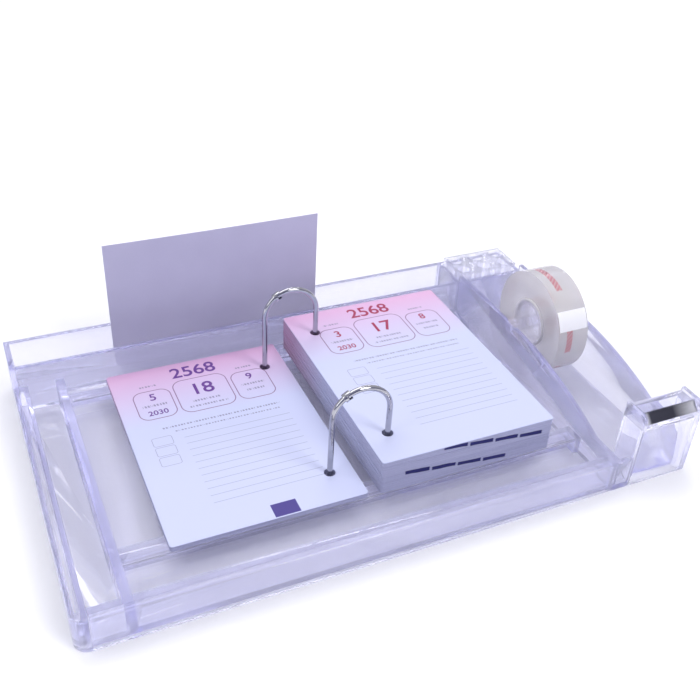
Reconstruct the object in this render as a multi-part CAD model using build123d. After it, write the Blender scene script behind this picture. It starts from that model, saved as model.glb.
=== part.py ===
from build123d import *
from math import degrees
import os

# Flip desk calendar with organiser base.
# Frame: X along the base (right), Y to the back, Z up, origin under the middle of the base.
# All sizes are in millimetres.

# ---------------------------------------------------------------- paper
PAGE_W = 100.0            # page width
PAGE_D = 138.0            # page depth
PAGE_CORNER = 3.0         # radius of the page corners
STACK_GAP = 6.5           # between the turned and the unturned pages
HOLE_D = 6.0              # punched hole
HOLE_INSET = 12.35        # hole centre to the inner edge of the page
HOLE_PITCH = 97.0         # between the two holes of a page
LEFT_PAD_T = 3.0          # pages already turned
RIGHT_LOWER_T = 10.0      # last months
RIGHT_UPPER_T = 9.6       # coming months
LEAF_T = 0.4              # the leaf that turns next
STRIP_W = 21.0            # bound strip of that leaf, inner edge to crease
CREASE_GAP = 0.05

# ---------------------------------------------------------------- base tray
FLOOR_T = 2.4             # floor plate
SKIN = 2.4                # wall of the hollow rims and ledges
RIM_W = 7.5               # hollow rim at the front and the left
RIM_H = 19.0
RIM_ROUND = 1.6           # rounding of the upper rim edges
CORNER_R = 7.0            # rounded front left corner
SIDE_TRAY_W = 15.0        # narrow tray along the left side
INNER_WALL_T = 4.5        # wall between the side tray and the page bed
BED_MARGIN_L = 22.5       # inner wall to the left pages
BED_MARGIN_R = 21.5       # right pages to the module
FRONT_TROUGH_D = 23.0     # pen trough behind the front rim
LEDGE_H = 12.0            # ledges that carry the pages
LEDGE_FRONT_W = 11.5
LEDGE_BACK_W = 13.0
PAGE_BACK_GAP = 2.0       # pages to the wall of the rear trough
PAGE_FRONT_LIP = 0.5      # front ledge beyond the pages
REAR_TROUGH_D = 23.0      # rear trough inside its walls
REAR_H = 31.0
REAR_WALL_T = 3.0
CARD_RIB_T = 2.0          # low rib that keeps a card upright
CARD_RIB_H = 10.0
CARD_SLOT_W = 3.4         # from that rib to the rear wall

# ---------------------------------------------------------------- memo card
CARD_W = 128.0
CARD_H = 81.5
CARD_T = 0.6
CARD_INSET = 10.0         # left edge of the card, from that of the left pages
CARD_PLAY = 1.4           # card to the rear wall

# ---------------------------------------------------------------- arches
WIRE_D = 3.0
LEG_ROOM = 16.4           # straight leg above the top page
CLIP_ANGLE = 122.0        # where the two wires of an arch meet
END_GAP = 0.15            # between the two wire ends
BOSS_GAP = 0.5            # boss to the pages above it
BOSS_SKIN = 0.6           # wall around the hollow of a boss
BOSS_CORE_H = 3.6
PIVOT_FIT = 0.08          # radial play of a turning leg
NUT_RIM = 1.9             # push-on nut around its leg
NUT_ROOM = 0.5            # around the nut
NUT_T = 0.8
NUT_PLAY = 0.1            # turning nut to its boss
LEG_TAIL = 1.2            # wire below its nut
CLIP_WALL = 0.9
CLIP_L = 4.0
CLIP_FIT = 0.10           # radial play of the free wire end in its clip
CLIP_MOUTH_PLAY = 0.2     # each side of the slot that the free end leaves through

# ---------------------------------------------------------------- side module
MODULE_W = 48.5
MODULE_WALL_T = 3.0
WALL_LEVEL = 8.0          # level top edge in front of the axle
WALL_FRONT_H = 19.0       # bay walls at the front
WALL_BULGE = 4.0          # rise of the curved top edge above its chord
WALL_NOSE = 22.0          # low front end of the walls
AXLE_SETBACK = 59.5       # axle to the wall of the rear trough
AXLE_SINK = 1.5           # axle below the top of the walls
STUB_D = 8.0
STUB_FIT = 0.08           # radial play of the stubs in their grooves
STUB_END_PLAY = 0.25
GROOVE_DEPTH = 1.6
LEAD_IN = 0.6             # widening of the groove at its mouth, each side
LEAD_IN_DEPTH = 0.8

# ---------------------------------------------------------------- cutter
POST_INSET = 10.0         # left face of the post, from that of the module
POST_D = 15.5
POST_H = 46.0
POST_T = 2.6
POST_ROUND = 3.5          # upper front corners of the cheeks
BED_DROP = 2.0            # blade bed below the top of the cheeks
BED_SLOPE = 5.4           # height and depth of the bevel that carries the blade
BLADE_W = 6.8
BLADE_T = 0.8
BLADE_MARGIN = 2.4        # cheek beside the blade
BLADE_PLAY = 0.2          # blade to each cheek
BLADE_PROUD = 0.9         # teeth beyond the upper edge of the bevel
TOOTH = 1.1
TOOTH_PITCH = 1.2

# ---------------------------------------------------------------- tape
ROLL_D = 62.0
ROLL_FLOOR_GAP = 1.6
TAPE_W = 20.0
CORE_ID = 25.6
CORE_WALL = 1.7
CORE_PROUD = 0.2          # core beyond the tape, each side
HUB_FIT = 0.1             # radial play of the core on its hub
HUB_LIP = 1.0             # hub rim beyond the bore of the core
HUB_RIM_T = 1.4
HUB_SIDE_PLAY = 0.3
HUB_SKIN = 1.8
HUB_KEY_D = 6.0           # spigot that joins the hub halves
HUB_KEY_L = 5.0
HUB_KEY_FIT = 0.05

# ---------------------------------------------------------------- pen rack
WELL_D = 9.6
WELL_WALL = 0.8
RACK_H = 33.4
RACK_PLATE_T = 1.6        # plate that joins the wells at the top
RACK_PLAY = 0.25          # plate to the walls of the pen box

# ---------------------------------------------------------------- derived places
BASE_L = RIM_W + SIDE_TRAY_W + INNER_WALL_T + BED_MARGIN_L + 2 * PAGE_W + STACK_GAP + BED_MARGIN_R + MODULE_W
BASE_D = RIM_W + FRONT_TROUGH_D + PAGE_FRONT_LIP + PAGE_D + PAGE_BACK_GAP + REAR_TROUGH_D + 2 * REAR_WALL_T
LEFT = -BASE_L / 2
RIGHT = BASE_L / 2
FRONT = -BASE_D / 2
BACK = BASE_D / 2
TRAY_X0 = LEFT + RIM_W
TRAY_X1 = TRAY_X0 + SIDE_TRAY_W
BED_X0 = TRAY_X1 + INNER_WALL_T
LEFT_PAGE_X = BED_X0 + BED_MARGIN_L
RIGHT_PAGE_X = LEFT_PAGE_X + PAGE_W + STACK_GAP
MODULE_X = RIGHT - MODULE_W
TROUGH_Y1 = BACK - REAR_WALL_T
TROUGH_Y0 = TROUGH_Y1 - REAR_TROUGH_D
REAR_Y = TROUGH_Y0 - REAR_WALL_T
PAGE_BACK = REAR_Y - PAGE_BACK_GAP
PAGE_FRONT = PAGE_BACK - PAGE_D
LEDGE_FRONT = PAGE_FRONT - PAGE_FRONT_LIP
PAGE_MID = (PAGE_BACK + PAGE_FRONT) / 2
RIGHT_PAD_TOP = LEDGE_H + RIGHT_LOWER_T + RIGHT_UPPER_T
HOLE_YS = {"front": PAGE_MID - HOLE_PITCH / 2, "rear": PAGE_MID + HOLE_PITCH / 2}
POST_LEG_X = LEFT_PAGE_X + PAGE_W - HOLE_INSET
SWING_LEG_X = RIGHT_PAGE_X + HOLE_INSET
ARCH_X = (POST_LEG_X + SWING_LEG_X) / 2
ARCH_R = (SWING_LEG_X - POST_LEG_X) / 2
ARCH_Z = RIGHT_PAD_TOP + LEAF_T + LEG_ROOM
NUT_D = WIRE_D + 2 * NUT_RIM
BOSS_CORE_D = NUT_D + 2 * NUT_ROOM
BOSS_D = BOSS_CORE_D + 2 * BOSS_SKIN
BOSS_H = LEDGE_H - BOSS_GAP
CLIP_D = WIRE_D + 2 * CLIP_WALL
BAY_X0 = MODULE_X + MODULE_WALL_T
BAY_X1 = RIGHT - MODULE_WALL_T
BAY_MID = (BAY_X0 + BAY_X1) / 2
AXLE_Y = REAR_Y - AXLE_SETBACK
AXLE_Z = FLOOR_T + ROLL_FLOOR_GAP + ROLL_D / 2
WALL_TOP = AXLE_Z + AXLE_SINK
CORE_OD = CORE_ID + 2 * CORE_WALL
CORE_W = TAPE_W + 2 * CORE_PROUD
POST_X = MODULE_X + POST_INSET
BED_X1 = RIGHT - BLADE_MARGIN
BLADE_X = POST_X + BLADE_MARGIN + BLADE_PLAY
BLADE_L = BED_X1 - BLADE_PLAY - BLADE_X


def block(x0, x1, y0, y1, z0, z1):
    """Box between two corners."""
    size = Box(x1 - x0, y1 - y0, z1 - z0, align=(Align.MIN, Align.MIN, Align.MIN))
    return Pos(x0, y0, z0) * size


def rod(x, y, z0, z1, diameter):
    """Upright cylinder."""
    return Pos(x, y, z0) * Cylinder(diameter / 2, z1 - z0, align=(Align.CENTER, Align.CENTER, Align.MIN))


def cross_rod(x0, x1, y, z, diameter):
    """Cylinder along X."""
    lying = Rot(0, 90, 0) * Cylinder(diameter / 2, x1 - x0, align=(Align.CENTER, Align.CENTER, Align.MIN))
    return Pos(x0, y, z) * lying


def upright_edges(solid, x, y):
    """Vertical edges of a solid that pass through the point x, y."""
    chosen = []
    for edge in solid.edges().filter_by(Axis.Z):
        middle = edge.center()
        if abs(middle.X - x) < 0.01 and abs(middle.Y - y) < 0.01:
            chosen.append(edge)
    return chosen


def leg_sites():
    """Places of the four wire legs, as (x, y, turns)."""
    sites = []
    for y in HOLE_YS.values():
        sites.append((POST_LEG_X, y, False))
        sites.append((SWING_LEG_X, y, True))
    return sites


def add_boss(tray, x, y, turns):
    """Boss on the bed floor with the bore of one wire leg and a hollow for its nut."""
    bore = WIRE_D + (2 * PIVOT_FIT if turns else 0)
    tray = tray + rod(x, y, 0, BOSS_H, BOSS_D)
    tray = tray - rod(x, y, 0, BOSS_CORE_H, BOSS_CORE_D)
    return tray - rod(x, y, 0, max(BOSS_H, LEDGE_H), bore)


def make_base_tray():
    """Main moulding: rims, side tray, page bed, pen trough and rear trough."""
    tray = block(LEFT, MODULE_X, FRONT, BACK, 0, RIM_H)
    tray = tray + block(LEFT, MODULE_X, REAR_Y, BACK, 0, REAR_H)
    tray = fillet(upright_edges(tray, LEFT, FRONT), CORNER_R)
    tray = tray - block(TRAY_X0, TRAY_X1, FRONT + RIM_W, REAR_Y, FLOOR_T, RIM_H)
    tray = tray - block(BED_X0, MODULE_X, FRONT + RIM_W, LEDGE_FRONT, FLOOR_T, RIM_H)
    tray = tray - block(BED_X0, MODULE_X, LEDGE_FRONT, REAR_Y, LEDGE_H, RIM_H)
    floor_y0 = LEDGE_FRONT + LEDGE_FRONT_W
    floor_y1 = REAR_Y - LEDGE_BACK_W
    tray = tray - block(BED_X0, MODULE_X, floor_y0, floor_y1, FLOOR_T, LEDGE_H)
    tray = round_rims(tray)
    tray = hollow_rims(tray)
    tray = hollow_ledges(tray, floor_y0, floor_y1)
    tray = cut_rear_trough(tray)
    for site in leg_sites():
        tray = add_boss(tray, *site)
    return tray


def round_rims(tray):
    """Round the upper outer edges of the front and left rims."""
    edges = []
    for edge in tray.edges():
        middle = edge.center()
        on_top = abs(middle.Z - RIM_H) < 0.01
        on_front = abs(middle.Y - FRONT) < 0.01
        on_left = abs(middle.X - LEFT) < 0.01
        near_corner = middle.X < LEFT + CORNER_R and middle.Y < FRONT + CORNER_R
        at_corner = near_corner and edge.geom_type == GeomType.CIRCLE
        if on_top and (on_front or on_left or at_corner):
            edges.append(edge)
    return fillet(edges, RIM_ROUND)


def hollow_rims(tray):
    """Open the front and left rims from below."""
    top = RIM_H - SKIN
    front = block(LEFT + RIM_W, MODULE_X - SKIN, FRONT + SKIN, FRONT + RIM_W - SKIN, 0, top)
    left = block(LEFT + SKIN, LEFT + RIM_W - SKIN, FRONT + RIM_W, REAR_Y - SKIN, 0, top)
    return tray - front - left


def hollow_ledges(tray, floor_y0, floor_y1):
    """Open the two page ledges from below."""
    x0 = BED_X0
    x1 = MODULE_X - SKIN
    top = LEDGE_H - SKIN
    front = block(x0, x1, LEDGE_FRONT + SKIN, floor_y0 - SKIN, 0, top)
    back = block(x0, x1, floor_y1 + SKIN, REAR_Y - SKIN / 2, 0, top)
    return tray - front - back


def cut_rear_trough(tray):
    """Cut the rear trough and leave the rib that keeps a card upright."""
    x0 = LEFT + REAR_WALL_T
    hollow = block(x0, MODULE_X, TROUGH_Y0, TROUGH_Y1, FLOOR_T, REAR_H)
    rib_y1 = TROUGH_Y1 - CARD_SLOT_W
    rib = block(x0, MODULE_X, rib_y1 - CARD_RIB_T, rib_y1, 0, CARD_RIB_H)
    return tray - hollow + rib


def wall_profile():
    """Outline of a bay wall in the YZ plane, with its curved top edge."""
    start = (REAR_Y, WALL_TOP)
    bend = (AXLE_Y - WALL_LEVEL, WALL_TOP)
    end = (FRONT + WALL_NOSE, WALL_FRONT_H)
    middle = ((bend[0] + end[0]) / 2, (bend[1] + end[1]) / 2 + WALL_BULGE)
    lines = [
        Line((BACK, 0), (BACK, REAR_H)),
        Line((BACK, REAR_H), (REAR_Y, REAR_H)),
        Line((REAR_Y, REAR_H), start),
        Line(start, bend),
        ThreePointArc(bend, middle, end),
        Line(end, (FRONT, WALL_FRONT_H)),
        Line((FRONT, WALL_FRONT_H), (FRONT, 0)),
        Line((FRONT, 0), (BACK, 0)),
    ]
    return make_face(Curve() + lines)


def bay_wall(x0, x1):
    """One bay wall between two X places."""
    sketch = Plane.YZ * wall_profile()
    return Pos(x0, 0, 0) * extrude(sketch, amount=x1 - x0, dir=(1, 0, 0))


def axle_groove(x0, x1):
    """Groove that is open at the top and ends in a round seat for a hub stub."""
    seat = cross_rod(x0, x1, AXLE_Y, AXLE_Z, STUB_D + 2 * STUB_FIT)
    half = STUB_D / 2 + STUB_FIT
    neck = block(x0, x1, AXLE_Y - half, AXLE_Y + half, AXLE_Z, WALL_TOP)
    mouth_half = half + LEAD_IN
    mouth = block(x0, x1, AXLE_Y - mouth_half, AXLE_Y + mouth_half, WALL_TOP - LEAD_IN_DEPTH, WALL_TOP)
    return seat + neck + mouth


def make_side_module():
    """Right-hand moulding: tape bay with its two walls and the pen box behind it."""
    module = bay_wall(MODULE_X, BAY_X0) + bay_wall(BAY_X1, RIGHT)
    module = module + block(BAY_X0, BAY_X1, FRONT + POST_D, BACK, 0, FLOOR_T)
    module = module + block(BAY_X0, POST_X, FRONT, FRONT + POST_D, 0, FLOOR_T)
    module = module + block(BAY_X0, POST_X, FRONT, FRONT + MODULE_WALL_T, 0, RIM_H)
    module = module + block(BAY_X0, BAY_X1, REAR_Y, TROUGH_Y0, 0, REAR_H)
    module = module + block(BAY_X0, BAY_X1, TROUGH_Y1, BACK, 0, REAR_H)
    module = module - block(POST_X, RIGHT, FRONT, FRONT + POST_D, 0, POST_H)
    module = module - axle_groove(BAY_X0 - GROOVE_DEPTH, BAY_X0)
    return module - axle_groove(BAY_X1, BAY_X1 + GROOVE_DEPTH)


def make_cutter_post():
    """Hollow post, open at the back and below, with a bevelled blade bed between two cheeks."""
    y1 = FRONT + POST_D
    post = block(POST_X, RIGHT, FRONT, y1, 0, POST_H)
    corners = [edge for edge in post.edges().filter_by(Axis.X) if on_upper_front(edge)]
    post = fillet(corners, POST_ROUND)
    bed_z = POST_H - BED_DROP
    outline = Polyline(
        (FRONT - POST_D, bed_z - BED_SLOPE - POST_D),
        (FRONT + BED_SLOPE, bed_z),
        (y1, bed_z),
        (y1, POST_H + POST_D),
        (FRONT - POST_D, POST_H + POST_D),
        close=True,
    )
    above = Plane.YZ * make_face(outline)
    above = Pos(POST_X + BLADE_MARGIN, 0, 0) * extrude(above, amount=BED_X1 - POST_X - BLADE_MARGIN, dir=(1, 0, 0))
    inner_top = bed_z - BED_SLOPE - POST_T
    hollow = block(POST_X + POST_T, RIGHT - POST_T, FRONT + POST_T, y1, 0, inner_top)
    return post - above - hollow


def on_upper_front(edge):
    """Whether an edge is the upper front edge of the post."""
    middle = edge.center()
    return abs(middle.Y - FRONT) < 0.01 and abs(middle.Z - POST_H) < 0.01


def blade_outline():
    """Blade with a row of teeth along one long edge."""
    count = int(BLADE_L / TOOTH_PITCH)
    pitch = BLADE_L / count
    points = [(0, 0), (0, BLADE_W - TOOTH)]
    for index in range(count):
        points.append(((index + 0.5) * pitch, BLADE_W))
        points.append(((index + 1) * pitch, BLADE_W - TOOTH))
    points.append((BLADE_L, 0))
    return make_face(Polyline(*points, close=True))


def make_cutter_blade():
    """Toothed strip that lies on the bevel, with its teeth at the upper edge."""
    blade = extrude(blade_outline(), amount=BLADE_T)
    start = (BED_SLOPE * 2 ** 0.5 + BLADE_PROUD - BLADE_W) * 2 ** -0.5
    bed_front_z = POST_H - BED_DROP - BED_SLOPE
    return Pos(BLADE_X, FRONT + start, bed_front_z + start) * Rot(45, 0, 0) * blade


def page_block(x, z, thickness, hole_x):
    """Block of pages with rounded corners and the two punched holes."""
    pages = block(x, x + PAGE_W, PAGE_FRONT, PAGE_BACK, z, z + thickness)
    pages = fillet(pages.edges().filter_by(Axis.Z), PAGE_CORNER)
    for y in HOLE_YS.values():
        pages = pages - rod(hole_x, y, z, z + thickness, HOLE_D)
    return pages


def make_leaf():
    """The leaf that turns next, split at its crease into strip and panel."""
    leaf = page_block(RIGHT_PAGE_X, RIGHT_PAD_TOP, LEAF_T, SWING_LEG_X)
    crease = RIGHT_PAGE_X + STRIP_W
    z0 = RIGHT_PAD_TOP
    z1 = z0 + LEAF_T
    outer = block(crease, RIGHT_PAGE_X + PAGE_W, PAGE_FRONT, PAGE_BACK, z0, z1)
    gap = block(crease - CREASE_GAP, crease, PAGE_FRONT, PAGE_BACK, z0, z1)
    return leaf - outer - gap, leaf & outer


def make_memo_card():
    """Card that stands in the slot at the rear wall."""
    x0 = LEFT_PAGE_X + CARD_INSET
    y1 = TROUGH_Y1 - CARD_PLAY
    return block(x0, x0 + CARD_W, y1 - CARD_T, y1, FLOOR_T, FLOOR_T + CARD_H)


def make_arch_post(y):
    """Fixed wire: left leg and the first part of the arch."""
    foot = BOSS_CORE_H - NUT_T - LEG_TAIL
    leg = rod(POST_LEG_X, y, foot, ARCH_Z, WIRE_D)
    return leg + arch_arc(y, CLIP_ANGLE + arch_angle(END_GAP / 2), 180, WIRE_D)


def make_arch_swing(y):
    """Turning wire: right leg and the rest of the arch."""
    foot = BOSS_CORE_H - NUT_PLAY - NUT_T - LEG_TAIL
    leg = rod(SWING_LEG_X, y, foot, ARCH_Z, WIRE_D)
    return leg + arch_arc(y, 0, CLIP_ANGLE - arch_angle(END_GAP / 2), WIRE_D)


def arch_angle(length):
    """Angle that a length along the arch's centre line covers, in degrees."""
    return degrees(length / ARCH_R)


def arch_arc(y, angle0, angle1, diameter):
    """Round bar bent to the arch between two angles, counted from +X towards +Z."""
    section = Pos(ARCH_X + ARCH_R, y, ARCH_Z) * Circle(diameter / 2)
    axis = Axis((ARCH_X, y, ARCH_Z), (0, -1, 0))
    arc = revolve(section, axis=axis, revolution_arc=angle1 - angle0)
    turn = Pos(ARCH_X, y, ARCH_Z) * Rot(0, -angle0, 0) * Pos(-ARCH_X, -y, -ARCH_Z)
    return turn * arc


def make_arch_clip(y):
    """Open sleeve on the fixed wire; the free wire end leaves it towards the front."""
    reach = arch_angle(CLIP_L / 2)
    bore = WIRE_D + 2 * CLIP_FIT
    mouth = Pos(0, -CLIP_D / 2, -CLIP_L / 2) * Box(bore + 2 * CLIP_MOUTH_PLAY, CLIP_D, CLIP_L)
    place = Pos(ARCH_X, y, ARCH_Z) * Rot(0, -CLIP_ANGLE, 0) * Pos(ARCH_R, 0, 0)
    clip = arch_arc(y, CLIP_ANGLE - reach, CLIP_ANGLE + reach, CLIP_D)
    clip = clip - arch_arc(y, CLIP_ANGLE - 2 * reach, CLIP_ANGLE, bore)
    clip = clip - arch_arc(y, CLIP_ANGLE, CLIP_ANGLE + 2 * reach, WIRE_D)
    return clip - place * mouth


def make_nut(x, y, turns):
    """Push-on nut that keeps a wire leg in its boss."""
    top = BOSS_CORE_H - (NUT_PLAY if turns else 0)
    return rod(x, y, top - NUT_T, top, NUT_D) - rod(x, y, top - NUT_T, top, WIRE_D)


def make_hub_half(side):
    """One half of the tape hub: stub, rim and hollow drum; side is -1 left or +1 right."""
    drum_half = CORE_W / 2 + HUB_SIDE_PLAY
    drum_d = CORE_ID - 2 * HUB_FIT
    reach = BAY_X1 + GROOVE_DEPTH - BAY_MID - STUB_END_PLAY
    half = cross_rod(0, drum_half, 0, 0, drum_d)
    half = half - cross_rod(0, drum_half - HUB_SKIN, 0, 0, drum_d - 2 * HUB_SKIN)
    half = half + cross_rod(drum_half, drum_half + HUB_RIM_T, 0, 0, CORE_ID + 2 * HUB_LIP)
    half = half + cross_rod(0, reach, 0, 0, STUB_D)
    if side < 0:
        half = mirror(half, about=Plane.YZ)
        half = half + cross_rod(0, HUB_KEY_L, 0, 0, HUB_KEY_D - 2 * HUB_KEY_FIT)
    else:
        half = half - cross_rod(0, HUB_KEY_L + 1, 0, 0, HUB_KEY_D)
    return Pos(BAY_MID, AXLE_Y, AXLE_Z) * half


def make_ring(outer, inner, width):
    """Ring about the axle of the tape."""
    x0 = BAY_MID - width / 2
    x1 = BAY_MID + width / 2
    return cross_rod(x0, x1, AXLE_Y, AXLE_Z, outer) - cross_rod(x0, x1, AXLE_Y, AXLE_Z, inner)


def spread(low, high, size):
    """Centres of as many things of a size as fit between two places, spread evenly."""
    count = int((high - low) // size)
    if count == 1:
        return [(low + high) / 2]
    step = (high - low - size) / (count - 1)
    return [low + size / 2 + index * step for index in range(count)]


def make_pen_rack():
    """Round pen wells under one plate, dropped into the pen box."""
    z0 = FLOOR_T
    z1 = z0 + RACK_H
    x0 = BAY_X0 + RACK_PLAY
    x1 = BAY_X1 - RACK_PLAY
    y0 = TROUGH_Y0 + RACK_PLAY
    y1 = TROUGH_Y1 - RACK_PLAY
    outer = WELL_D + 2 * WELL_WALL
    wells = [(x, y) for x in spread(x0, x1, outer) for y in spread(y0, y1, outer)]
    rack = block(x0, x1, y0, y1, z1 - RACK_PLATE_T, z1)
    for x, y in wells:
        rack = rack + rod(x, y, z0, z1, outer)
    for x, y in wells:
        rack = rack - rod(x, y, z0 + WELL_WALL, z1, WELL_D)
    return rack


def build_parts():
    """All nodes, by name."""
    strip, panel = make_leaf()
    upper_z = LEDGE_H + RIGHT_LOWER_T
    parts = {
        "base_tray": make_base_tray(),
        "side_module": make_side_module(),
        "cutter_post": make_cutter_post(),
        "cutter_blade": make_cutter_blade(),
        "pen_rack": make_pen_rack(),
        "left_pad": page_block(LEFT_PAGE_X, LEDGE_H, LEFT_PAD_T, POST_LEG_X),
        "right_pad_lower": page_block(RIGHT_PAGE_X, LEDGE_H, RIGHT_LOWER_T, SWING_LEG_X),
        "right_pad_upper": page_block(RIGHT_PAGE_X, upper_z, RIGHT_UPPER_T, SWING_LEG_X),
        "leaf_strip": strip,
        "leaf_panel": panel,
        "memo_card": make_memo_card(),
        "hub_left": make_hub_half(-1),
        "hub_right": make_hub_half(1),
        "tape_core": make_ring(CORE_OD, CORE_ID, CORE_W),
        "tape_roll": make_ring(ROLL_D, CORE_OD, TAPE_W),
    }
    for name, y in HOLE_YS.items():
        parts[name + "_arch_post"] = make_arch_post(y)
        parts[name + "_arch_swing"] = make_arch_swing(y)
        parts[name + "_arch_clip"] = make_arch_clip(y)
        parts[name + "_post_nut"] = make_nut(POST_LEG_X, y, False)
        parts[name + "_swing_nut"] = make_nut(SWING_LEG_X, y, True)
    return parts


os.makedirs("parts", exist_ok=True)
for node, solid in build_parts().items():
    export_step(solid, os.path.join("parts", node + ".step"))
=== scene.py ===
"""Looks of a flip desk calendar that stands in a clear organiser base.

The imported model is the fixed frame. Each sub-assembly below is a class that builds its meshes
around that frame and dresses them: the clear mouldings, the wire arches, the pages, the card and
the tape dispenser. Lengths are written in millimetres and turned to metres with MM.
"""
from __future__ import annotations

import logging
import math
import random
from dataclasses import dataclass, field
from enum import Enum
from functools import reduce
from typing import Any, Callable, Sequence

import bpy
from mathutils import Matrix, Vector

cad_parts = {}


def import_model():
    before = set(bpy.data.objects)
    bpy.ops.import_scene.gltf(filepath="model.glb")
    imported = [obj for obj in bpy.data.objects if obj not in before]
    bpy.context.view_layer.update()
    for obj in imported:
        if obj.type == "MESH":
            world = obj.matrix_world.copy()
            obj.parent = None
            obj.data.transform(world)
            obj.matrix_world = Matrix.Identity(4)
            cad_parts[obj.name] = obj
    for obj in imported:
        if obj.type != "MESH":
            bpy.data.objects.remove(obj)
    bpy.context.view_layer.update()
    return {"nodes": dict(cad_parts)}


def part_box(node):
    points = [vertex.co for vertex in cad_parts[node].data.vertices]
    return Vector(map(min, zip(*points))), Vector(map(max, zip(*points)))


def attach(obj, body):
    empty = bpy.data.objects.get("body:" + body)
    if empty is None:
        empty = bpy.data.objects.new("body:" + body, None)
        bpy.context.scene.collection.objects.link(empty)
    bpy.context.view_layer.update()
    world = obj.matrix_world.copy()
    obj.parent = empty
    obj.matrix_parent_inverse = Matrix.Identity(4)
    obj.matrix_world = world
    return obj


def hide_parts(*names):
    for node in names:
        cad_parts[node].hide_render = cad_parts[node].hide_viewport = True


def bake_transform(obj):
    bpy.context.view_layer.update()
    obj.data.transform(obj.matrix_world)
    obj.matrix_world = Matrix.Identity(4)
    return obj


LOG = logging.getLogger("desk_calendar")
Triple = tuple[float, float, float]
Colour = Triple
Row = tuple[float, ...]
PAGE_MAP = "page"
MM = 0.001
HAIR = 0.05 * MM  # keeps two touching faces from lying in one plane
MERGE = 0.002 * MM  # points nearer than this become one
WIRE = 3.0 * MM  # thickness of the wire of both arches


class Body(str, Enum):
    """Rigid bodies of the calendar."""

    BASE = "base"
    STRIP = "leaf_strip"
    PANEL = "leaf_panel"
    FRONT_ARCH = "front_arch"
    REAR_ARCH = "rear_arch"
    HUB = "hub"
    ROLL = "roll"
    CARD = "card"


class Side(Enum):
    """Side of the page on which the holes are."""

    LEFT = -1
    RIGHT = 1


# ------------------------------------------------------------------ shader maths


class Value:
    """A shader socket that can be used in Python expressions."""

    def __init__(self, graph: Graph, socket: bpy.types.NodeSocket) -> None:
        """Keeps the socket and the graph that it belongs to.

        Args:
            graph: Graph that new nodes are added to.
            socket: Output socket that carries the value.
        """
        self.graph = graph
        self.socket = socket

    def __add__(self, other: Any) -> Value:
        """Sum."""
        return self.graph.maths("ADD", self, other)

    def __radd__(self, other: Any) -> Value:
        """Sum, with the number first."""
        return self.graph.maths("ADD", other, self)

    def __sub__(self, other: Any) -> Value:
        """Difference."""
        return self.graph.maths("SUBTRACT", self, other)

    def __rsub__(self, other: Any) -> Value:
        """Difference, with the number first."""
        return self.graph.maths("SUBTRACT", other, self)

    def __mul__(self, other: Any) -> Value:
        """Product."""
        return self.graph.maths("MULTIPLY", self, other)

    def __rmul__(self, other: Any) -> Value:
        """Product, with the number first."""
        return self.graph.maths("MULTIPLY", other, self)

    def __truediv__(self, other: Any) -> Value:
        """Quotient."""
        return self.graph.maths("DIVIDE", self, other)

    def __abs__(self) -> Value:
        """Size without its sign."""
        return self.graph.maths("ABSOLUTE", self)

    def __lt__(self, other: Any) -> Value:
        """1 where this is smaller."""
        return self.graph.maths("LESS_THAN", self, other)

    def __gt__(self, other: Any) -> Value:
        """1 where this is larger."""
        return self.graph.maths("GREATER_THAN", self, other)

    def least(self, other: Any) -> Value:
        """The smaller of two values."""
        return self.graph.maths("MINIMUM", self, other)

    def most(self, other: Any) -> Value:
        """The larger of two values."""
        return self.graph.maths("MAXIMUM", self, other)

    def fraction(self) -> Value:
        """Part after the decimal point."""
        return self.graph.maths("FRACT", self)

    def root(self) -> Value:
        """Square root."""
        return self.graph.maths("SQRT", self)

    def ramp(self, low: float, high: float) -> Value:
        """0 below low and 1 above high, straight in between.

        Args:
            low: Value that gives 0.
            high: Value that gives 1. It may be the smaller one.

        Returns:
            The ramp, from 0 to 1.
        """
        scaled = (self - low) * (1.0 / (high - low))
        return scaled.least(1.0).most(0.0)


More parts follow.
